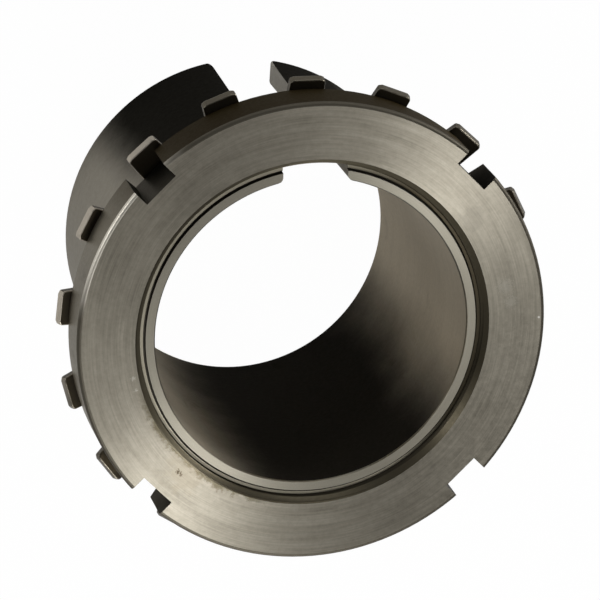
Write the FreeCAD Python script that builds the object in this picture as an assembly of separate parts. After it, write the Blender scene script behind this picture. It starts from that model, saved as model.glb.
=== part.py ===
import FreeCAD, Part
import math
import os

# Bearing adapter sleeve for an 80 mm shaft: a split taper sleeve, a slotted lock nut on its
# threaded end and a tab washer between the nut and the place where the bearing sits.
# Axis along Z. The sleeve stands on its thick end at Z = 0, the slit faces -Y.
# All sizes in mm, angles in degrees.

# sleeve
shaft_diameter = 80.0
sleeve_length = 90.0
taper_wall = 4.5            # over the shaft, where the taper meets the thread
taper_ratio = 12.0          # one millimetre of diameter for every twelve of length
thread_wall = 5.0           # over the shaft, out to the thread's crests
thread_length = 26.0
sleeve_end_wall = 2.4       # flat left on the threaded end inside its chamfer
slit_width = 16.5
slit_edge_radius = 1.8
bore_edge_chamfer = 0.5
thick_end_round = 1.2

# thread, cut as a plain cylinder at the pitch diameter
thread_pitch = 2.0
thread_clearance = 0.05

# lock nut
nut_wall = 15.0             # from the thread's crests out to the rim
nut_thickness = 16.0
nut_seat_inset = 6.0        # from the rim in to the flat that bears on the washer
nut_seat_angle = 30.0
nut_rim_chamfer = 0.7
nut_bore_chamfer = 1.6      # along the axis, at both mouths of the thread
nut_mouth_play = 0.4        # radial, mouth over the thread's crests
nut_overhang = 2.0          # nut face stands proud of the sleeve's end
slot_count = 4
slot_width = 10.0
slot_depth = 4.5
slot_turn = 45.0            # first slot, measured from the slit

# lock washer
sheet = 2.0
washer_play = 0.25          # radial, over the thread crests
key_width = 10.0
key_clearance = 1.5         # inner tab stops this far outside the shaft
tab_count = 17
tab_root_width = 9.6
tab_tip_width = 9.0
tab_straight = 7.75
tab_bend_angle = 25.0
tab_bend_radius = 2.0
tab_bend_start = 0.3        # outside the washer's body
tab_corner_radius = 1.0
tab_root_radius = 1.0

bore_radius = shaft_diameter / 2
taper_small_radius = bore_radius + taper_wall
crest_radius = bore_radius + thread_wall
pitch_radius = crest_radius - 0.3248 * thread_pitch
rim_radius = crest_radius + nut_wall
seat_radius = rim_radius - nut_seat_inset
nut_top = sleeve_length + nut_overhang
nut_bottom = nut_top - nut_thickness
washer_bottom = nut_bottom - sheet

Z_AXIS = FreeCAD.Vector(0, 0, 1)
ORIGIN = FreeCAD.Vector(0, 0, 0)


def wire_face(points):
    """Flat face inside a closed outline of straight edges."""
    closed = points + [points[0]]
    return Part.Face(Part.makePolygon([FreeCAD.Vector(*p) for p in closed]))


def turned(profile):
    """Full turn about Z of a profile given as radius and height."""
    face = wire_face([(r, 0, z) for r, z in profile])
    return face.revolve(ORIGIN, Z_AXIS, 360)


def about_axis(shape, angle):
    """Copy of a shape turned about Z."""
    copy = shape.copy()
    copy.rotate(ORIGIN, Z_AXIS, angle)
    return copy


def edges_where(shape, test):
    return [edge for edge in shape.Edges if test(edge)]


def sleeve_blank():
    """Bored tube with the taper outside and the thread's cylinder on the thin end."""
    end_radius = bore_radius + sleeve_end_wall
    thread_foot = sleeve_length - thread_length
    thick_radius = taper_small_radius + thread_foot / taper_ratio / 2
    chamfer_foot = sleeve_length - (pitch_radius - end_radius)
    blank = turned([
        (bore_radius + bore_edge_chamfer, 0),
        (thick_radius, 0),
        (taper_small_radius, thread_foot),
        (pitch_radius, thread_foot),
        (pitch_radius, chamfer_foot),
        (end_radius, sleeve_length),
        (bore_radius + bore_edge_chamfer, sleeve_length),
        (bore_radius, sleeve_length - bore_edge_chamfer),
        (bore_radius, bore_edge_chamfer),
    ])
    rim = edges_where(blank, lambda e: e.BoundBox.ZMax < 1e-3
                      and e.BoundBox.XMax > thick_radius - 0.01)
    return blank.makeFillet(thick_end_round, rim)


def slit_cutter():
    """Full-length slit at -Y; a round blends each of its walls into the bore."""
    half = slit_width / 2
    centre_x = half + slit_edge_radius
    centre_y = -math.sqrt((bore_radius + slit_edge_radius) ** 2 - centre_x ** 2)
    lean = math.asin(centre_x / (bore_radius + slit_edge_radius))
    on_bore_x = bore_radius * math.sin(lean)
    on_bore_y = -bore_radius * math.cos(lean)
    halfway = (math.pi / 2 + lean) / 2
    outside = -crest_radius - thread_wall
    inside = -bore_radius / 2

    def at(side, x, y):
        return FreeCAD.Vector(side * x, y, 0)

    def edges(side):
        middle = at(side, centre_x - slit_edge_radius * math.sin(halfway),
                    centre_y + slit_edge_radius * math.cos(halfway))
        return [
            Part.makeLine(at(side, 0, outside), at(side, half, outside)),
            Part.makeLine(at(side, half, outside), at(side, half, centre_y)),
            Part.Arc(at(side, half, centre_y), middle, at(side, on_bore_x, on_bore_y)).toShape(),
            Part.makeLine(at(side, on_bore_x, on_bore_y), at(side, on_bore_x, inside)),
            Part.makeLine(at(side, on_bore_x, inside), at(side, 0, inside)),
        ]

    outline = Part.Wire(Part.__sortEdges__(edges(1) + edges(-1)))
    return Part.Face(outline).extrude(Z_AXIS * sleeve_length)


def adapter_sleeve():
    return sleeve_blank().cut(slit_cutter())


def nut_blank():
    """Turned ring: steep chamfer on the bearing side, broken edge on the open side."""
    bore = pitch_radius + thread_clearance
    mouth = crest_radius + nut_mouth_play
    rise = nut_seat_inset * math.tan(math.radians(nut_seat_angle))
    return turned([
        (mouth, nut_bottom),
        (seat_radius, nut_bottom),
        (rim_radius, nut_bottom + rise),
        (rim_radius, nut_top - nut_rim_chamfer),
        (rim_radius - nut_rim_chamfer, nut_top),
        (mouth, nut_top),
        (bore, nut_top - nut_bore_chamfer),
        (bore, nut_bottom + nut_bore_chamfer),
    ])


def lock_nut():
    nut = nut_blank()
    floor = rim_radius - slot_depth
    slot = Part.makeBox(slot_width, rim_radius, nut_thickness,
                        FreeCAD.Vector(-slot_width / 2, -floor - rim_radius, nut_bottom))
    slots = [about_axis(slot, slot_turn + i * 360.0 / slot_count) for i in range(slot_count)]
    return nut.cut(slots)


def washer_body():
    """Flat ring with the inner tab that keys into the sleeve's slit."""
    hole = crest_radius + washer_play
    body = Part.makeCylinder(seat_radius, sheet).cut(Part.makeCylinder(hole, sheet))
    tip = bore_radius + key_clearance
    key = Part.makeBox(key_width, hole + 1 - tip, sheet, FreeCAD.Vector(-key_width / 2, -hole - 1, 0))
    return body.fuse(key)


def tab_section():
    """Bent sheet seen along its width: flat root, bend, straight tip."""
    bend = math.radians(tab_bend_angle)
    root = seat_radius - sheet
    start = seat_radius + tab_bend_start
    centre_height = sheet + tab_bend_radius

    def on_bend(radius, angle):
        return FreeCAD.Vector(0, -start - radius * math.sin(angle), centre_height - radius * math.cos(angle))

    along = FreeCAD.Vector(0, -math.cos(bend), math.sin(bend)) * tab_straight
    outer = tab_bend_radius + sheet
    back = [on_bend(outer, bend * k) for k in (0, 0.5, 1)]
    front = [on_bend(tab_bend_radius, bend * k) for k in (1, 0.5, 0)]
    low = FreeCAD.Vector(0, -root, 0)
    high = FreeCAD.Vector(0, -root, sheet)
    return Part.Face(Part.Wire([
        Part.makeLine(low, back[0]),
        Part.Arc(*back).toShape(),
        Part.makeLine(back[2], back[2] + along),
        Part.makeLine(back[2] + along, front[0] + along),
        Part.makeLine(front[0] + along, front[0]),
        Part.Arc(*front).toShape(),
        Part.makeLine(front[2], high),
        Part.makeLine(high, low),
    ]))


def tab_outline(tip_radius):
    """Punched outline of one tab from above: rounded tip corners, radii where it leaves the body."""
    root = seat_radius
    base = root - sheet
    half_root = tab_root_width / 2
    half_tip = tab_tip_width / 2
    corner = tab_corner_radius
    fillet = tab_root_radius
    bow = 1 - math.sqrt(0.5)

    def side(sign):
        def at(x, r):
            return FreeCAD.Vector(sign * x, -r, 0)
        skirt = half_root + fillet
        return [
            Part.makeLine(at(0, base), at(skirt, base)),
            Part.makeLine(at(skirt, base), at(skirt, root)),
            Part.Arc(at(skirt, root), at(half_root + fillet * bow, root + fillet * bow),
                     at(half_root, root + fillet)).toShape(),
            Part.makeLine(at(half_root, root + fillet), at(half_tip, tip_radius - corner)),
            Part.Arc(at(half_tip, tip_radius - corner),
                     at(half_tip - corner * bow, tip_radius - corner * bow),
                     at(half_tip - corner, tip_radius)).toShape(),
            Part.makeLine(at(half_tip - corner, tip_radius), at(0, tip_radius)),
        ]

    return Part.Face(Part.Wire(Part.__sortEdges__(side(1) + side(-1))))


def outer_tab():
    section = tab_section()
    tip_radius = -section.BoundBox.YMin
    strip = section.extrude(FreeCAD.Vector(2 * tab_root_width, 0, 0))
    strip.translate(FreeCAD.Vector(-tab_root_width, 0, 0))
    height = section.BoundBox.ZMax + 1
    return strip.common(tab_outline(tip_radius).extrude(Z_AXIS * height))


def lock_washer():
    tab = outer_tab()
    tabs = [about_axis(tab, i * 360.0 / tab_count) for i in range(tab_count)]
    washer = washer_body().fuse(tabs).removeSplitter()
    washer.translate(FreeCAD.Vector(0, 0, washer_bottom))
    return washer


def save(name, shape):
    solids = shape.Solids
    if len(solids) != 1 or not shape.isValid():
        raise RuntimeError(name + " is not one sound solid")
    solids[0].exportStep("parts/" + name + ".step")


os.makedirs("parts", exist_ok=True)
save("adapter_sleeve", adapter_sleeve())
save("lock_nut", lock_nut())
save("lock_washer", lock_washer())
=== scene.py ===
import math

import bmesh
import bpy
from mathutils import Matrix, Vector


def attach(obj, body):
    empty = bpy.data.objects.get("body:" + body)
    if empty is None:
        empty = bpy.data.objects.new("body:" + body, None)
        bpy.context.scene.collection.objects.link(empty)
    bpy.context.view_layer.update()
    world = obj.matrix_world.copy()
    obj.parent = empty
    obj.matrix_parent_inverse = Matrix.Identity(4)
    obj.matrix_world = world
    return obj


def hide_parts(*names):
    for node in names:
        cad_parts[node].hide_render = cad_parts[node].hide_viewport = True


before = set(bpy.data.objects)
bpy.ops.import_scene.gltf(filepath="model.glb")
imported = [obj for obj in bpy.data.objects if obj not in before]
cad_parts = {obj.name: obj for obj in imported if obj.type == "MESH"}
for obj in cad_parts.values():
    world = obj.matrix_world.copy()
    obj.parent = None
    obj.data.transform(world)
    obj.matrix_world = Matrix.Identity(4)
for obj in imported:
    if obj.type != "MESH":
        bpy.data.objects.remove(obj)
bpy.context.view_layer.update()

# Adapter sleeve: one piece of bearing steel, turned all over. Its taper and its bore are ground, the
# fine right-hand thread is cut on the thin end, and the slit is milled last through the whole length.
mm = 0.001
facets = 144                  # steps round a whole turn
sleeve_length = 90.0
bore_radius = 40.0
bore_chamfer = 0.5
mouth_chamfer = (0.3, 0.4)    # the bore's at the threaded end, along the radius and the height
taper_small_radius = 44.5
taper_ratio = 24.0            # height for each millimetre of radius
thick_end_round = 1.2
pitch = 2.0
crest_radius = 45.0
root_radius = 43.77
root_half = 0.166             # half the width of the groove's floor
thread_foot = 64.0            # height where the thread's cylinder begins
groove_start = 64.2
groove_turns = 14
runout_turns = 1.5
land_radii = (42.95, 43.7)    # narrow flat inside the thread's end chamfer
land_height = 89.2
groove_radii = (42.5, 42.75)  # floor of the groove between that flat and the end ring
groove_height = 88.7
end_ring_radius = 42.4
slit_half = 8.25
slit_round = 1.8


def ring_blank(section, rounded=(), radius=0.0, start_angle=0.0):
    """Ring turned about Z from a closed section of (radius, height) points; some corners are rounded."""
    ring = bmesh.new()
    corners = [ring.verts.new((r * mm, 0, z * mm)) for r, z in section]
    for a, b in zip(corners, corners[1:] + corners[:1]):
        ring.edges.new((a, b))
    if rounded:
        bmesh.ops.bevel(ring, geom=[corners[i] for i in rounded], offset=radius * mm, segments=4,
                        profile=0.5, affect="VERTICES", material=-1)
    bmesh.ops.rotate(ring, verts=ring.verts, cent=(0, 0, 0),
                     matrix=Matrix.Rotation(math.radians(start_angle), 3, "Z"))
    bmesh.ops.spin(ring, geom=ring.verts[:] + ring.edges[:], cent=(0, 0, 0), axis=(0, 0, 1),
                   dvec=(0, 0, 0), angle=2 * math.pi, steps=facets, use_merge=True, use_duplicate=False)
    bmesh.ops.recalc_face_normals(ring, faces=ring.faces)
    return ring


def thread_tool(tip, tip_half, mouth, start, turns):
    """A threading tool's path: the groove's section carried round and up the axis, right-handed.
    tip_half is half the tool's width at its tip; its flanks open at 30 degrees to the mouth's radius."""
    mouth_half = tip_half + abs(mouth - tip) * math.tan(math.radians(30))
    section = [(tip, -tip_half), (tip, tip_half), (mouth, mouth_half), (mouth, -mouth_half)]
    tool = bmesh.new()
    tool.faces.new([tool.verts.new((r * mm, 0, z * mm)) for r, z in section])
    bmesh.ops.spin(tool, geom=tool.verts[:] + tool.edges[:] + tool.faces[:], cent=(0, 0, 0),
                   axis=(0, 0, 1), dvec=(0, 0, pitch / facets * mm), angle=2 * math.pi * turns,
                   steps=facets * turns, use_merge=False, use_duplicate=False)
    bmesh.ops.recalc_face_normals(tool, faces=tool.faces)
    bmesh.ops.translate(tool, verts=tool.verts, vec=(0, 0, start * mm))
    return tool


def mesh_object(name, shape):
    """Object with the shape as its mesh; the shape is freed."""
    mesh = bpy.data.meshes.new(name)
    shape.to_mesh(mesh)
    shape.free()
    made = bpy.data.objects.new(name, mesh)
    bpy.context.scene.collection.objects.link(made)
    return made


def bake_down(thing):
    """Applies the modifiers of an object to its mesh."""
    graph = bpy.context.evaluated_depsgraph_get()
    graph.update()
    mesh = bpy.data.meshes.new_from_object(thing.evaluated_get(graph))
    thing.modifiers.clear()
    thing.data = mesh
    mesh.name = thing.name


def machine(blank, tools):
    """Takes the tools' shapes out of a blank, one cut after the other."""
    for tool in tools:
        cutter = mesh_object("cutting_tool", tool)
        cut = blank.modifiers.new("cut", "BOOLEAN")
        cut.operation = "DIFFERENCE"
        cut.solver = "EXACT"
        cut.object = cutter
        bake_down(blank)
        bpy.data.objects.remove(cutter)


def break_edges(piece, picked, width, finish, steps=2):
    """Takes the sharpness off the picked edges; the narrow faces get their own finish."""
    shape = bmesh.new()
    shape.from_mesh(piece.data)
    bmesh.ops.remove_doubles(shape, verts=shape.verts, dist=0.002 * mm)
    edges = [e for e in shape.edges if len(e.link_faces) == 2 and picked(e)]
    made = bmesh.ops.bevel(shape, geom=edges, offset=width * mm, segments=steps, profile=0.5,
                           affect="EDGES", material=-1, clamp_overlap=True)
    for face in made["faces"]:
        face.material_index = finish
    shape.to_mesh(piece.data)
    shape.free()


def finish_by(piece, finish_of):
    """Gives each face the finish that its place in mm and its direction call for."""
    for face in piece.data.polygons:
        face.material_index = finish_of(face.center / mm, face.normal)


def shade(piece):
    """Smooth round the curves, crisp at the edges, flat faces kept flat."""
    for face in piece.data.polygons:
        face.use_smooth = True
    piece.data.set_sharp_from_angle(angle=math.radians(40))
    even = piece.modifiers.new("even", "WEIGHTED_NORMAL")
    even.keep_sharp = True
    bake_down(piece)


sleeve = mesh_object("turned_sleeve", ring_blank([
    (bore_radius + bore_chamfer, 0.0),
    (taper_small_radius + thread_foot / taper_ratio, 0.0),
    (taper_small_radius, thread_foot),
    (crest_radius, thread_foot + crest_radius - taper_small_radius),
    (crest_radius, land_height - (crest_radius - land_radii[1])),
    (land_radii[1], land_height),
    (land_radii[0], land_height),
    (groove_radii[1], groove_height),
    (groove_radii[0], groove_height),
    (end_ring_radius, sleeve_length),
    (bore_radius + mouth_chamfer[0], sleeve_length),
    (bore_radius, sleeve_length - mouth_chamfer[1]),
    (bore_radius, bore_chamfer),
], rounded=[1], radius=thick_end_round))

sleeve_groove = thread_tool(root_radius, root_half, crest_radius + 0.15, groove_start, groove_turns)
for v in sleeve_groove.verts:
    # over its first turns the tool is backed off by a millimetre a turn, so the thread fades out
    part_turn = math.atan2(v.co.y, v.co.x) % (2 * math.pi) / (2 * math.pi)
    turn = part_turn + round((v.co.z / mm - groove_start) / pitch - part_turn)
    backed_off = max(0.0, runout_turns - turn)
    away = 1.0 + backed_off * mm / v.co.xy.length
    v.co.x *= away
    v.co.y *= away

reach = bore_radius + slit_round
round_x = slit_half + slit_round
round_y = -math.sqrt(reach ** 2 - round_x ** 2)
on_bore_x = bore_radius * round_x / reach
slit = bmesh.new()
edge_start = slit.verts.new((slit_half * mm, round_y * mm, 0))
bmesh.ops.spin(slit, geom=[edge_start], cent=(round_x * mm, round_y * mm, 0), axis=(0, 0, 1),
               dvec=(0, 0, 0), angle=math.asin(round_x / reach) - math.pi / 2, steps=8,
               use_merge=False, use_duplicate=False)
arc = sorted(slit.verts, key=lambda v: v.co.x)
clear_outside = -1.5 * bore_radius
clear_inside = -0.5 * bore_radius
outside = slit.verts.new((slit_half * mm, clear_outside * mm, 0))
outside_middle = slit.verts.new((0, clear_outside * mm, 0))
inside = slit.verts.new((arc[-1].co.x, clear_inside * mm, 0))
inside_middle = slit.verts.new((0, clear_inside * mm, 0))
for a, b in ((outside_middle, outside), (outside, arc[0]), (arc[-1], inside), (inside, inside_middle)):
    slit.edges.new((a, b))
bmesh.ops.mirror(slit, geom=slit.verts[:] + slit.edges[:], matrix=Matrix.Identity(4),
                 merge_dist=0.001 * mm, axis="X", mirror_u=False, mirror_v=False)
bmesh.ops.remove_doubles(slit, verts=slit.verts, dist=0.001 * mm)
outline = bmesh.ops.contextual_create(slit, geom=slit.edges)["faces"]
bmesh.ops.translate(slit, verts=slit.verts, vec=(0, 0, -1 * mm))
tall = bmesh.ops.extrude_face_region(slit, geom=outline)["geom"]
bmesh.ops.translate(slit, verts=[g for g in tall if isinstance(g, bmesh.types.BMVert)],
                    vec=(0, 0, (sleeve_length + 2) * mm))
bmesh.ops.recalc_face_normals(slit, faces=slit.faces)
machine(sleeve, [sleeve_groove, slit])

(taper_finish, bore_finish, end_finish, thread_finish, slit_finish, worn_finish, dark_groove_finish,
 land_finish) = range(8)


def sleeve_finish(at, normal):
    """The slit's walls first, then bore, ends, the groove painted near black as shade, and land, and last
    the outside.
    """
    r = at.xy.length
    if at.y < 0 and abs(at.x) < on_bore_x and abs(normal.x) > 0.25 and abs(normal.z) < 0.3:
        return slit_finish
    if r < bore_radius + 0.05:
        return bore_finish
    if r < bore_radius + bore_chamfer or abs(normal.z) > 0.9 and not 0.1 < at.z < sleeve_length - 0.1:
        return end_finish
    if r < land_radii[0]:
        return dark_groove_finish
    if normal.z > 0.9 and at.z > land_height - 0.1:
        return land_finish
    return taper_finish if at.z < thread_foot else thread_finish


def on_slit_wall(edge, low, high, inner=0.0):
    """Sharp edge of the slit's walls whose ends lie between two heights, outside a radius."""
    ends = [v.co / mm for v in edge.verts]
    return edge.calc_face_angle(0) > math.radians(50) and all(
        abs(abs(p.x) - slit_half) < 0.01 and p.y < 0 and low - 0.01 <= p.z <= high + 0.01
        and p.xy.length > inner for p in ends)


finish_by(sleeve, sleeve_finish)
break_edges(sleeve, lambda e: on_slit_wall(e, 0.0, thread_foot - 0.1, taper_small_radius - 0.1), 1.1,
            worn_finish, steps=4)
for end in (sleeve_length, 0.0):
    break_edges(sleeve, lambda e: on_slit_wall(e, end, end), 0.25, worn_finish)
shade(sleeve)


def new_group(name, inputs, outputs):
    """Shader node group with named number sockets; returns it with its two end nodes."""
    group = bpy.data.node_groups.new(name, "ShaderNodeTree")
    for label, value in inputs:
        socket = group.interface.new_socket(label, in_out="INPUT", socket_type="NodeSocketFloat")
        socket.default_value = value
    for label in outputs:
        group.interface.new_socket(label, in_out="OUTPUT", socket_type="NodeSocketFloat")
    return group, group.nodes.new("NodeGroupInput"), group.nodes.new("NodeGroupOutput")


def feed(tree, socket, value):
    """Sets a socket to a number or a colour, or links another node's output to it."""
    if isinstance(value, tuple):
        socket.default_value = (*value, 1.0)
    elif isinstance(value, (int, float)):
        socket.default_value = value
    else:
        tree.links.new(value, socket)


def math_node(tree, operation, *values):
    node = tree.nodes.new("ShaderNodeMath")
    node.operation = operation
    for socket, value in zip(node.inputs, values):
        feed(tree, socket, value)
    return node.outputs[0]


def noise_node(tree, vector, scale, detail=2.0, roughness=0.5, distortion=0.0):
    node = tree.nodes.new("ShaderNodeTexNoise")
    for label, value in (("Vector", vector), ("Scale", scale), ("Detail", detail),
                         ("Roughness", roughness), ("Distortion", distortion)):
        feed(tree, node.inputs[label], value)
    return node.outputs["Fac"]


def span(tree, value, low, high, smooth=False):
    """Stretches a value from the range low to high to 0 to 1, clamped."""
    node = tree.nodes.new("ShaderNodeMapRange")
    if smooth:
        node.interpolation_type = "SMOOTHSTEP"
    for label, number in (("Value", value), ("From Min", low), ("From Max", high)):
        feed(tree, node.inputs[label], number)
    return node.outputs["Result"]


def blend(tree, amount, a, b):
    """Mixes two colours, each a tuple or another node's output."""
    node = tree.nodes.new("ShaderNodeMix")
    node.data_type = "RGBA"
    for label, value in (("Factor", amount), ("A", a), ("B", b)):
        feed(tree, node.inputs[label], value)
    return node.outputs["Result"]


def round_the_axis(group):
    """Place on a turned piece: in object coordinates, its X, Y and Z, and its distance from the axis."""
    place = group.nodes.new("ShaderNodeTexCoord").outputs["Object"]
    parts = group.nodes.new("ShaderNodeSeparateXYZ")
    group.links.new(place, parts.inputs[0])
    radius = math_node(group, "SQRT", math_node(
        group, "ADD", math_node(group, "POWER", parts.outputs["X"], 2.0),
        math_node(group, "POWER", parts.outputs["Y"], 2.0)))
    return place, parts.outputs, radius


def side_share(group, parts, radius, given):
    """How far a place lies to the given side of the axis: 1 right there, -1 opposite."""
    return math_node(group, "DIVIDE", math_node(
        group, "ADD", math_node(group, "MULTIPLY", parts["X"], given["Towards X"]),
        math_node(group, "MULTIPLY", parts["Y"], given["Towards Y"])), radius)


def lathe_marks():
    """Fine rings that a lathe tool or grinding wheel leaves round the axis.
    Height feeds a bump, Streak is a brushing that follows the rings for part of a turn."""
    group, start, result = new_group(
        "lathe marks", [("Rings per mm", 4.0), ("Wander", 0.15), ("Arcs", 3.5)], ["Height", "Streak"])
    given = start.outputs
    place, parts, radius = round_the_axis(group)
    along = math_node(group, "ADD", radius, math_node(group, "MULTIPLY", parts["Z"], 1.3))
    drift = math_node(group, "SUBTRACT", noise_node(group, place, 40.0, 1.0), 0.5)
    wander = math_node(group, "MULTIPLY", drift, math_node(group, "MULTIPLY", given["Wander"], mm))
    line = math_node(group, "MULTIPLY", math_node(group, "ADD", along, wander), 1 / mm)
    rings = group.nodes.new("ShaderNodeTexNoise")
    rings.noise_dimensions = "1D"
    rings.inputs["Scale"].default_value = 1.0
    rings.inputs["Detail"].default_value = 3.0
    rings.inputs["Roughness"].default_value = 0.65
    group.links.new(math_node(group, "MULTIPLY", line, given["Rings per mm"]), rings.inputs["W"])
    group.links.new(rings.outputs["Fac"], result.inputs["Height"])

    def on_rings(ring_share):
        """Across the rings by radius and height, along them by direction from the axis."""
        made = group.nodes.new("ShaderNodeCombineXYZ")
        group.links.new(math_node(group, "MULTIPLY", line, math_node(
            group, "MULTIPLY", given["Rings per mm"], ring_share)), made.inputs["X"])
        for axis, socket in (("X", "Y"), ("Y", "Z")):
            direction = math_node(group, "DIVIDE", parts[axis], radius)
            group.links.new(math_node(group, "MULTIPLY", direction, given["Arcs"]), made.inputs[socket])
        return made.outputs[0]

    fine = span(group, noise_node(group, on_rings(0.9), 1.0, 3.0, 0.6), 0.3, 0.7)
    broad = span(group, noise_node(group, on_rings(0.12), 1.0, 3.0, 0.5), 0.3, 0.7)
    group.links.new(math_node(group, "ADD", math_node(group, "MULTIPLY", fine, 0.55),
                              math_node(group, "MULTIPLY", broad, 0.45)), result.inputs["Streak"])
    return group


def oil_film():
    """Patches where oil has dried on the steel: Patches is the mask, Mottle a fine speckle."""
    group, start, result = new_group("oil film", [("Size mm", 12.0), ("Cover", 0.5)], ["Patches", "Mottle"])
    given = start.outputs
    place = group.nodes.new("ShaderNodeTexCoord").outputs["Object"]
    scaled = group.nodes.new("ShaderNodeVectorMath")
    scaled.operation = "SCALE"
    group.links.new(place, scaled.inputs[0])
    group.links.new(math_node(group, "DIVIDE", 1 / mm, given["Size mm"]), scaled.inputs["Scale"])
    cloud = noise_node(group, scaled.outputs[0], 1.0, 5.0, 0.6, 0.4)
    dry_below = math_node(group, "SUBTRACT", 0.85, math_node(group, "MULTIPLY", given["Cover"], 0.6))
    group.links.new(span(group, cloud, dry_below, math_node(group, "ADD", dry_below, 0.18)),
                    result.inputs["Patches"])
    group.links.new(noise_node(group, scaled.outputs[0], 14.0, 3.0, 0.7), result.inputs["Mottle"])
    return group


def side_light_and_shade():
    """Painted light or shade on one side of a round piece: a mask that rises towards the given side, with
    an uneven edge.
    """
    group, start, result = new_group(
        "painted side light and shade", [("Towards X", 0.0), ("Towards Y", 1.0), ("From", 0.2), ("Full", 0.8)], ["Cover"])
    given = start.outputs
    place, parts, radius = round_the_axis(group)
    ragged = math_node(group, "MULTIPLY", math_node(
        group, "SUBTRACT", noise_node(group, place, 40.0, 3.0, 0.5), 0.5), 0.22)
    towards = math_node(group, "ADD", side_share(group, parts, radius, given), ragged)
    group.links.new(span(group, towards, given["From"], given["Full"], smooth=True), result.inputs["Cover"])
    return group


marks_group = lathe_marks()
film_group = oil_film()
painted_side_group = side_light_and_shade()


def use_group(tree, group, **values):
    """Adds a node group to a material and sets its inputs, which are named with underscores here."""
    node = tree.nodes.new("ShaderNodeGroup")
    node.node_tree = group
    for label, value in values.items():
        node.inputs[label.replace("_", " ")].default_value = value
    return node.outputs


def steel(name, colour, dark, rough, rings=4.0, ring_depth=0.004, streak=0.3, aniso=0.0, film_size=12.0,
          film_cover=0.4, film_colour=(0.06, 0.05, 0.035), mottle=0.2, metal=1.0, paint_side=None,
          painted_colour=(0.008, 0.007, 0.005), painted_rough=0.25, grazing=1.0):
    """Oiled machined steel: base colour streaked along its tool marks, patches of dried oil on top.
    The side given as (x, y, from, full) is painted darker as painted shade, or lighter as a painted
    highlight, and how far that reaches; the colour and the added roughness given for that side go with it.
    grazing is the share of light that an oily skin still throws back at a flat angle."""
    made = bpy.data.materials.new(name)
    made.use_nodes = True
    tree = made.node_tree
    surface = tree.nodes["Principled BSDF"]
    marks = use_group(tree, marks_group, Rings_per_mm=rings)
    film = use_group(tree, film_group, Size_mm=film_size, Cover=film_cover)
    streaks = math_node(tree, "ADD", math_node(tree, "MULTIPLY", marks["Streak"], streak),
                        math_node(tree, "MULTIPLY", film["Mottle"], mottle))
    stained = blend(tree, math_node(tree, "MULTIPLY", film["Patches"], 0.75),
                    blend(tree, streaks, colour, dark), film_colour)
    rough_now = math_node(tree, "ADD", rough, math_node(
        tree, "MULTIPLY", math_node(tree, "SUBTRACT", film["Mottle"], 0.5), 0.25))
    # One side is painted darker as painted shade, or lighter as a painted highlight.
    if paint_side:
        x, y, begins, full = paint_side
        side = use_group(tree, painted_side_group, Towards_X=x, Towards_Y=y, From=begins, Full=full)
        stained = blend(tree, side["Cover"], stained, painted_colour)
        rough_now = math_node(tree, "ADD", rough_now,
                              math_node(tree, "MULTIPLY", side["Cover"], painted_rough))
    rough_now = math_node(tree, "ADD", rough_now, math_node(tree, "MULTIPLY", film["Patches"], 0.08))
    bump = tree.nodes.new("ShaderNodeBump")
    bump.inputs["Strength"].default_value = 0.5
    bump.inputs["Distance"].default_value = ring_depth * mm
    tree.links.new(marks["Height"], bump.inputs["Height"])
    for label, value in (
        ("Base Color", stained),
        ("Metallic", metal),
        ("Specular Tint", (grazing, grazing, grazing)),
        ("Roughness", rough_now),
        ("Normal", bump.outputs["Normal"]),
    ):
        feed(tree, surface.inputs[label], value)
    if aniso:
        surface.inputs["Anisotropic"].default_value = aniso
        surface.inputs["Anisotropic Rotation"].default_value = 0.25
        round_axis = tree.nodes.new("ShaderNodeTangent")
        round_axis.direction_type = "RADIAL"
        round_axis.axis = "Z"
        tree.links.new(round_axis.outputs["Tangent"], surface.inputs["Tangent"])
    return made


for finish in (
    # The taper is painted darker on its slit side as painted shade.
    steel("ground taper with painted shade", (0.36, 0.332, 0.275), (0.22, 0.2, 0.16), 0.34, rings=3.0, aniso=0.5,
          film_cover=0.3, film_size=18.0, paint_side=(0.087, -0.996, 0.55, 0.82),
          painted_colour=(0.014, 0.0125, 0.009), grazing=0.6),
    # The bore is painted darker towards +Y as painted shade.
    steel("oiled bore with painted shade", (0.78, 0.705, 0.57), (0.54, 0.485, 0.385), 0.5, rings=2.0, aniso=0.2,
          film_cover=0.35, film_colour=(0.4, 0.345, 0.265), film_size=14.0, mottle=0.5,
          paint_side=(-0.275, 0.961, 0.38, 0.92), painted_colour=(0.024, 0.021, 0.016), grazing=0.7),
    steel("turned end", (0.38, 0.356, 0.292), (0.23, 0.212, 0.168), 0.36, rings=3.0, aniso=0.7,
          film_cover=0.2, film_size=4.0, mottle=0.5),
    # The thread is painted darker towards -X as painted shade.
    steel("oiled thread with painted shade", (0.2, 0.178, 0.125), (0.11, 0.096, 0.064), 0.42, aniso=0.6,
          paint_side=(-0.966, -0.259, 0.2, 0.75), painted_colour=(0.075, 0.063, 0.042)),
    steel("milled slit", (0.30, 0.28, 0.235), (0.18, 0.165, 0.135), 0.45, film_cover=0.45),
    steel("worn edge", (0.34, 0.32, 0.27), (0.2, 0.185, 0.15), 0.42, film_cover=0.15, film_size=5.0),
    # The groove's floor is painted near black: painted shade for the gap between the end ring and the nut.
    steel("groove painted dark as shade", (0.045, 0.036, 0.022), (0.024, 0.019, 0.011), 0.6, film_cover=0.5, metal=0.2),
    # The land is painted darker towards -X as painted shade.
    steel("turned land with painted shade", (0.46, 0.425, 0.33), (0.3, 0.27, 0.2), 0.34, rings=3.0, aniso=0.8,
          film_cover=0.3, film_size=5.0, paint_side=(-0.966, -0.259, 0.2, 0.75),
          painted_colour=(0.09, 0.076, 0.05)),
):
    sleeve.data.materials.append(finish)
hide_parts("adapter_sleeve")
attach(sleeve, "sleeve")
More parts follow.
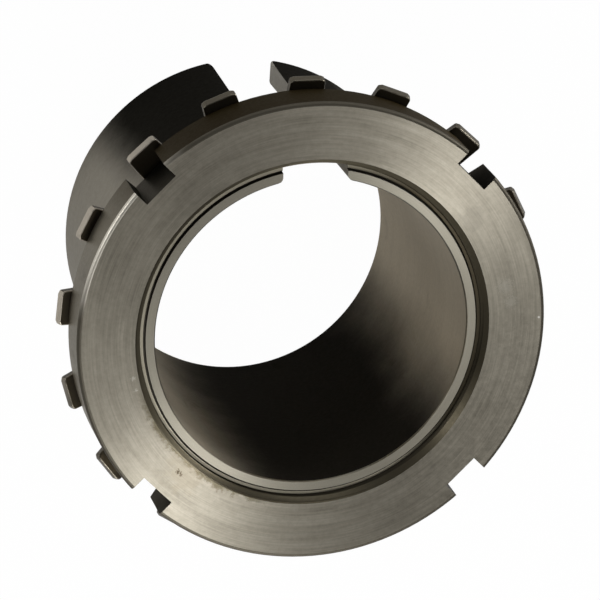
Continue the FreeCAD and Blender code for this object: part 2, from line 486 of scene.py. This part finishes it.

# Lock washer: punched from two-millimetre sheet. One inner tab keys into the sleeve's slit, and the
# crown of outer tabs was bent forward in the same press; its dark skin is worn bright along the edges,
# and the edges and ends on one side of the crown are painted lighter still as painted light.
sheet_thickness = 2.0
washer_middle = 75.0      # height of the sheet's middle
washer_hole = 45.25
washer_rim = 54.0
ring_lines = (washer_hole, 48.0, 51.0, washer_rim)
tab_count = 17
columns = 20              # of faces round the ring for each tab
tab_columns = 11          # of them under the root of one tab, with its radii
key_columns = 13          # under the root of the inner tab
tab_flat = 9.359          # flat distance from the ring's rim to a tab's tip
tab_root_half = 4.8
tab_tip_half = 4.5
tab_round = 1.0           # at the root and at the tip's corners
tab_rows = (0.134, 0.5, 0.954, 1.3, 1.609, 3.7, 5.8, 8.1, 8.5, 8.9, tab_flat)
bend_start = 0.3
bend_radius = 3.0
bend_angle = math.radians(25)
key_rows = [(44.6, 5.15), (44.1, 5.0), (42.0, 5.0), (41.5, 4.5)]   # radius and half width
edge_wear = 0.3


def tab_half(flat):
    """Half the width of a tab at a flat distance past the rim: root radii, slight taper, round corners."""
    if flat < tab_round:
        return tab_root_half + tab_round - math.sqrt(tab_round ** 2 - (tab_round - flat) ** 2)
    past_corner = flat - (tab_flat - tab_round)
    if past_corner > 0:
        return tab_tip_half - tab_round + math.sqrt(tab_round ** 2 - past_corner ** 2)
    return tab_root_half + (tab_tip_half - tab_root_half) * (flat - tab_round) / (tab_flat - 2 * tab_round)


def bent(flat):
    """Radius and height of a point of the sheet after bending, from its flat distance past the rim."""
    turned = min(max((flat - bend_start) / bend_radius, 0.0), bend_angle)
    straight = max(flat - bend_start - bend_radius * bend_angle, 0.0)
    out = min(flat, bend_start) + bend_radius * math.sin(turned) + straight * math.cos(bend_angle)
    up = bend_radius * (1 - math.cos(turned)) + straight * math.sin(bend_angle)
    return washer_rim + out, washer_middle + up


slit_side = -math.pi / 2
step = 2 * math.pi / (tab_count * columns)
washer_sheet = bmesh.new()
first = slit_side + step / 2
line = [washer_sheet.verts.new((r * mm * math.cos(first), r * mm * math.sin(first), washer_middle * mm))
        for r in ring_lines]
for a, b in zip(line, line[1:]):
    washer_sheet.edges.new((a, b))
bmesh.ops.spin(washer_sheet, geom=washer_sheet.verts[:] + washer_sheet.edges[:], cent=(0, 0, 0),
               axis=(0, 0, 1), dvec=(0, 0, 0), angle=2 * math.pi, steps=tab_count * columns,
               use_merge=True, use_duplicate=False)


def angle_off(point, middle):
    """Angle of a point from a direction, from minus half a turn to half a turn."""
    return (math.atan2(point.y, point.x) - middle + math.pi) % (2 * math.pi) - math.pi


def draw_tab(middle, radius, wide, rows, place):
    """Draws the sheet out from one edge of the ring, row by row, into a tab."""
    edges = [e for e in washer_sheet.edges if e.is_boundary
             and all(abs(v.co.xy.length / mm - radius) < 0.01 for v in e.verts)
             and abs(angle_off((e.verts[0].co + e.verts[1].co) / 2, middle)) < wide / 2 * step]
    outward = Vector((math.cos(middle), math.sin(middle), 0))
    across = Vector((-outward.y, outward.x, 0))
    for row, half in rows:
        made = bmesh.ops.extrude_edge_only(washer_sheet, edges=edges)["geom"]
        edges = [g for g in made if isinstance(g, bmesh.types.BMEdge)]
        points = sorted((g for g in made if isinstance(g, bmesh.types.BMVert)),
                        key=lambda v: v.co.dot(across))
        out, up = place(row)
        for k, v in enumerate(points):
            sideways = half * (2 * k / wide - 1)
            v.co = (outward * out + across * sideways) * mm + Vector((0, 0, up * mm))


for k in range(tab_count):
    draw_tab(slit_side + 2 * math.pi * k / tab_count, washer_rim, tab_columns,
             [(row, tab_half(row)) for row in tab_rows], bent)
draw_tab(slit_side, washer_hole, key_columns, key_rows, lambda out: (out, washer_middle))
bmesh.ops.recalc_face_normals(washer_sheet, faces=washer_sheet.faces)
washer = mesh_object("tab_washer", washer_sheet)
gauge = washer.modifiers.new("sheet", "SOLIDIFY")
gauge.thickness = sheet_thickness * mm
gauge.offset = 0
gauge.use_even_offset = True
bake_down(washer)
skin, rubbed_edge, bare_end = range(3)
tip_radius = bent(tab_flat)[0]


def punched_finish(at, normal):
    """The tabs' ends are bare punched steel, all else keeps the sheet's dark skin."""
    out = Vector(at.xy).normalized().to_3d()
    return bare_end if at.xy.length > tip_radius - 0.1 and normal.dot(out) > 0.7 else skin


finish_by(washer, punched_finish)
break_edges(washer, lambda e: e.calc_face_angle(0) > math.radians(60), edge_wear, rubbed_edge, steps=3)
shade(washer)
lit_tabs = (0.91, -0.41, 0.72, 0.98)     # side of the crown where the tabs' edges and ends are painted lighter as painted light
painted_light_colour = (0.55, 0.5, 0.42)
for finish in (
    steel("pressed sheet", (0.1, 0.084, 0.058), (0.05, 0.041, 0.027), 0.4, rings=0.0, streak=0.1,
          film_cover=0.5, film_size=7.0, mottle=0.5, metal=0.6),
    steel("rubbed edge with painted light", (0.2, 0.18, 0.14), (0.1, 0.088, 0.066), 0.3, rings=0.0, film_size=3.0,
          paint_side=lit_tabs, painted_colour=painted_light_colour),
    steel("bare end with painted light", (0.13, 0.115, 0.088), (0.075, 0.065, 0.048), 0.34, rings=0.0, film_cover=0.35,
          film_size=3.0, paint_side=lit_tabs, painted_colour=painted_light_colour),
):
    washer.data.materials.append(finish)
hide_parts("lock_washer")
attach(washer, "washer")

# Lock nut: turned from bar, its open face left with the lathe's fine rings and only a tiny broken edge,
# its bearing side cut back at thirty degrees; the spanner slots are milled across the rim.
nut_top = 92.0
nut_bottom = 76.0
rim_radius = 60.0
rim_round = 1.0
seat_radius = 54.0
seat_angle = math.radians(30)
mouth_radius = 45.4
minor_radius = 43.92
nut_root_radius = 45.1
nut_root_half = 0.185
nut_turns = 11
back_mouth_slope = 1.6    # height for each millimetre of radius; on the open side it is one
slot_count = 4
slot_turn = 45            # degrees from the slit to the first slot
slot_floor = 55.5
slot_half = 5.0
slot_cutter = (10.0, 20.0)   # how far it reaches outwards, and its height
nut = mesh_object("slotted_nut", ring_blank([
    (mouth_radius, nut_bottom),
    (seat_radius, nut_bottom),
    (rim_radius, nut_bottom + (rim_radius - seat_radius) * math.tan(seat_angle)),
    (rim_radius, nut_top),
    (mouth_radius, nut_top),
    (minor_radius, nut_top - (mouth_radius - minor_radius)),
    (minor_radius, nut_bottom + back_mouth_slope * (mouth_radius - minor_radius)),
], rounded=[3], radius=rim_round, start_angle=180 / facets))
nut_groove = thread_tool(nut_root_radius, nut_root_half, minor_radius - 0.12,
                         groove_start + 4.5 * pitch, nut_turns)
slots = []
for k in range(slot_count):
    slot = bmesh.new()
    deep, tall = slot_cutter
    bmesh.ops.create_cube(slot, size=1.0)
    bmesh.ops.scale(slot, verts=slot.verts, vec=(2 * slot_half * mm, deep * mm, tall * mm))
    bmesh.ops.translate(slot, verts=slot.verts,
                        vec=(0, -(slot_floor + deep / 2) * mm, (nut_top + nut_bottom) / 2 * mm))
    bmesh.ops.rotate(slot, verts=slot.verts, cent=(0, 0, 0),
                     matrix=Matrix.Rotation(math.radians(slot_turn + 360 / slot_count * k), 3, "Z"))
    slots.append(slot)
machine(nut, [nut_groove] + slots)
face_finish, rim_finish, slot_finish, nut_thread_finish, nut_edge_finish, rim_edge_finish = range(6)


def nut_finish(at, normal):
    """The thread with its mouths, the round on the rim, flat faces, the outside, then the slots."""
    r = at.xy.length
    if r < mouth_radius - 0.01:
        return nut_thread_finish
    if r > rim_radius - rim_round - 0.1 and at.z > nut_top - rim_round - 0.1 and 0.1 < normal.z < 0.99:
        return rim_edge_finish
    if abs(normal.z) > 0.95:
        return face_finish
    if r > rim_radius - rim_round - 0.05 or (abs(normal.z) > 0.3 and at.z < nut_bottom + 4):
        return rim_finish
    return slot_finish


def on_slot(edge, on_face):
    """Sharp edge of a milled slot, either on the open face or away from it."""
    ends = [v.co / mm for v in edge.verts]
    if min(p.xy.length for p in ends) < slot_floor - 0.1 or edge.calc_face_angle(0) < math.radians(50):
        return False
    middle = (ends[0] + ends[1]) / 2
    off = abs((math.degrees(math.atan2(middle.y, middle.x)) % (360 / slot_count)) - slot_turn)
    return off < 5.5 and (min(p.z for p in ends) > nut_top - rim_round - 0.1) == on_face


finish_by(nut, nut_finish)
break_edges(nut, lambda e: on_slot(e, False), 0.55, slot_finish, steps=3)
break_edges(nut, lambda e: on_slot(e, True), 0.15, nut_edge_finish)
shade(nut)


def ragged_spot():
    """One worn or stained spot on a piece, seen along the axis."""
    group, start, result = new_group(
        "ragged spot", [("At X mm", 0.0), ("At Y mm", 0.0), ("Reach mm", 3.0), ("Ragged", 0.6),
                        ("Grain per mm", 0.7)], ["Mask"])
    given = start.outputs
    place = group.nodes.new("ShaderNodeTexCoord").outputs["Object"]
    parts = group.nodes.new("ShaderNodeSeparateXYZ")
    group.links.new(place, parts.inputs[0])
    square = [math_node(group, "POWER", math_node(group, "SUBTRACT", math_node(
        group, "DIVIDE", parts.outputs[axis], mm), given["At %s mm" % axis]), 2.0) for axis in "XY"]
    away = math_node(group, "DIVIDE", math_node(group, "SQRT", math_node(group, "ADD", *square)),
                     given["Reach mm"])
    grain = noise_node(group, place, math_node(group, "DIVIDE", given["Grain per mm"], mm), 4.0, 0.65)
    uneven = math_node(group, "MULTIPLY", math_node(group, "SUBTRACT", grain, 0.5),
                       math_node(group, "MULTIPLY", given["Ragged"], 4.0))
    group.links.new(span(group, math_node(group, "ADD", away, uneven), 1.0, 0.55), result.inputs["Mask"])
    return group


def edge_stain():
    """Grime dried in a broken band that starts at a round inner edge and fades outwards, on one side."""
    group, start, result = new_group(
        "edge stain", [("Inner mm", mouth_radius), ("Reach mm", 1.8), ("Towards X", 0.7),
                       ("Towards Y", 0.7), ("From", 0.88), ("Full", 0.98)], ["Mask"])
    given = start.outputs
    place, parts, radius = round_the_axis(group)
    side = span(group, side_share(group, parts, radius, given), given["From"], given["Full"])
    past = math_node(group, "DIVIDE", math_node(
        group, "SUBTRACT", math_node(group, "DIVIDE", radius, mm), given["Inner mm"]), given["Reach mm"])
    cloud = noise_node(group, place, 420.0, 5.0, 0.7)
    depth = math_node(group, "SUBTRACT", math_node(group, "MULTIPLY", cloud, 2.6), past)
    band = span(group, depth, 0.75, 1.25)
    group.links.new(math_node(group, "MULTIPLY", side, band), result.inputs["Mask"])
    return group


spot_group = ragged_spot()
stain_group = edge_stain()


def lay_over(metal, mark, colour, strength, **values):
    """Lays a mark over a finished steel: the group's mask says where, at the given strength."""
    tree = metal.node_tree
    base = tree.nodes["Principled BSDF"].inputs["Base Color"]
    under = base.links[0].from_socket
    mask = use_group(tree, mark, **values)["Mask"]
    tree.links.new(blend(tree, math_node(tree, "MULTIPLY", mask, strength), under, colour), base)


for finish in (
    steel("turned face", (0.42, 0.388, 0.318), (0.2, 0.183, 0.145), 0.4, rings=3.0, ring_depth=0.008,
          streak=0.65, aniso=0.85, film_cover=0.2, film_size=16.0, film_colour=(0.22, 0.175, 0.095),
          mottle=0.45),
    # The rim is painted darker on the slit side as painted shade.
    steel("turned rim with painted shade", (0.24, 0.215, 0.165), (0.13, 0.115, 0.085), 0.36, rings=2.5, ring_depth=0.006,
          aniso=0.6, paint_side=(-0.1, -1.0, 0.3, 0.8), painted_colour=(0.036, 0.026, 0.011), grazing=0.8),
    steel("milled slot", (0.085, 0.077, 0.062), (0.04, 0.036, 0.028), 0.42, film_cover=0.5,
          film_size=5.0, mottle=0.5, grazing=0.5),
    # The mouth is painted darker towards -X as painted shade.
    steel("oiled mouth with painted shade", (0.16, 0.14, 0.098), (0.09, 0.078, 0.052), 0.42, aniso=0.6,
          paint_side=(-0.866, -0.5, 0.35, 0.75), painted_colour=(0.06, 0.052, 0.035)),
    steel("broken edge", (0.24, 0.22, 0.18), (0.14, 0.125, 0.1), 0.42, film_cover=0.2, film_size=4.0),
    # The rounded edge is painted bright towards +X as a painted highlight, on top of the lamp's real one.
    steel("rounded edge with painted highlight", (0.12, 0.108, 0.084), (0.075, 0.067, 0.052), 0.56, film_cover=0.2,
          film_size=5.0, paint_side=(0.839, -0.545, 0.9, 0.99), painted_colour=(0.72, 0.68, 0.59),
          painted_rough=-0.16, grazing=0.7),
):
    nut.data.materials.append(finish)
face = nut.data.materials[face_finish]
lay_over(face, stain_group, (0.085, 0.067, 0.03), 0.7,
         Reach_mm=2.5, Towards_X=0.68, Towards_Y=0.733, From=0.84, Full=0.93)
for at_x, at_y, spot_reach, ragged, grain, colour, strength in (
    (32.5, 35.0, 6.5, 0.6, 0.35, (0.22, 0.18, 0.115), 0.25),
    (34.1, 34.6, 0.75, 1.0, 1.6, (0.07, 0.05, 0.03), 0.9),
    (33.4, 35.5, 0.45, 0.9, 2.0, (0.09, 0.065, 0.04), 0.7),
    (-49.2, -10.0, 2.2, 1.3, 3.0, (0.5, 0.48, 0.42), 0.22),
    (-51.0, -6.0, 1.7, 1.3, 3.0, (0.5, 0.48, 0.42), 0.22),
    (-58.4, -1.4, 0.35, 0.4, 2.0, (0.8, 0.78, 0.72), 0.8),
    (-40.5, -28.5, 4.0, 0.6, 0.3, (0.13, 0.12, 0.10), 0.2),
    (45.9, 9.2, 0.6, 1.1, 2.0, (0.6, 0.57, 0.5), 0.5),
    (45.0, 12.4, 0.45, 1.1, 2.0, (0.6, 0.57, 0.5), 0.5),
):
    lay_over(face, spot_group, colour, strength, At_X_mm=at_x, At_Y_mm=at_y, Reach_mm=spot_reach,
             Ragged=ragged, Grain_per_mm=grain)
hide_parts("lock_nut")
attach(nut, "nut")

# Studio: a white floor, pale surroundings and large soft lamps round a single object.
scene = bpy.context.scene
scene.view_settings.view_transform = "Standard"
floor_shape = bmesh.new()
bmesh.ops.create_circle(floor_shape, cap_ends=True, segments=96, radius=12.0)
floor = mesh_object("studio_floor", floor_shape)
white = bpy.data.materials.new("white floor")
white.use_nodes = True
tree = white.node_tree
tree.nodes.remove(tree.nodes["Principled BSDF"])
paint = tree.nodes.new("ShaderNodeBsdfDiffuse")
paint.inputs["Color"].default_value = (0.85, 0.85, 0.85, 1)
glow = tree.nodes.new("ShaderNodeEmission")


def seen_white(tree, camera_share, glossy_share):
    """How much of the plain white a ray sees, by the kind of ray."""
    path = tree.nodes.new("ShaderNodeLightPath")
    gloss = math_node(tree, "MULTIPLY", math_node(
        tree, "MAXIMUM", path.outputs["Is Glossy Ray"], path.outputs["Is Transmission Ray"]), glossy_share)
    return math_node(tree, "MAXIMUM", gloss, math_node(
        tree, "MULTIPLY", path.outputs["Is Camera Ray"], camera_share))


mix = tree.nodes.new("ShaderNodeMixShader")
tree.links.new(seen_white(tree, camera_share=0.985, glossy_share=0.22), mix.inputs[0])
tree.links.new(paint.outputs[0], mix.inputs[1])
tree.links.new(glow.outputs[0], mix.inputs[2])
tree.links.new(mix.outputs[0], tree.nodes["Material Output"].inputs["Surface"])
floor.data.materials.append(white)

world = bpy.data.worlds.new("pale room")
scene.world = world
world.use_nodes = True
tree = world.node_tree
room_light = 0.09
sky = tree.nodes["Background"]
sky.inputs["Color"].default_value = (1.0, 1.0, 1.0, 1)
share = tree.nodes.new("ShaderNodeMix")
tree.links.new(seen_white(tree, camera_share=1.0, glossy_share=0.03), share.inputs["Factor"])
share.inputs["A"].default_value = room_light
share.inputs["B"].default_value = 1.0
tree.links.new(share.outputs["Result"], sky.inputs["Strength"])


def soft_lamp(name, towards, distance, size, power):
    """Soft lamp that faces the object from a direction."""
    lamp = bpy.data.lights.new(name, "AREA")
    lamp.shape = "RECTANGLE"
    lamp.size, lamp.size_y = size
    lamp.energy = power
    made = bpy.data.objects.new(name, lamp)
    scene.collection.objects.link(made)
    direction = Vector(towards).normalized()
    made.location = direction * distance + Vector((0, 0, 0.06))
    made.rotation_mode = "QUATERNION"
    made.rotation_quaternion = direction.to_track_quat("Z", "Y")


soft_lamp("window_lamp", (0.12, 0.69, 0.72), 1.6, (0.5, 0.5), 12.6)
soft_lamp("low_lamp", (0.0, 1.0, 0.24), 1.7, (1.25, 0.7), 7.0)
soft_lamp("high_lamp", (-0.42, 0.24, 0.87), 1.6, (0.9, 0.6), 2.3)
soft_lamp("fill_lamp", (0.34, 0.34, 0.87), 1.6, (0.6, 0.6), 1.1)
soft_lamp("left_lamp", (0.86, -0.36, 0.36), 1.6, (0.45, 0.45), 4.0)
soft_lamp("right_lamp", (-0.92, -0.39, 0.12), 1.6, (0.5, 0.5), 12.0)
soft_lamp("back_lamp", (-0.2, -1.0, 0.24), 1.7, (1.25, 0.7), 3.5)

# Camera at the photograph's viewing angle, looking down into the nut's open face.
camera = bpy.data.objects.new("camera", bpy.data.cameras.new("camera"))
scene.collection.objects.link(camera)
camera.data.sensor_width = 36.0
camera.data.lens = 244.31
camera.data.clip_start = 0.01
eye = Vector((226.654, -325.445, 1028.996))
right = Vector((-0.974293, -0.022475, 0.224163))
upward = Vector((-0.049165, -0.949816, -0.308922))
back = Vector((0.219856, -0.312002, 0.924293))
turn = Matrix((right, upward, back)).transposed().to_4x4()
camera.matrix_world = Matrix.Translation(eye * mm) @ turn
scene.camera = camera
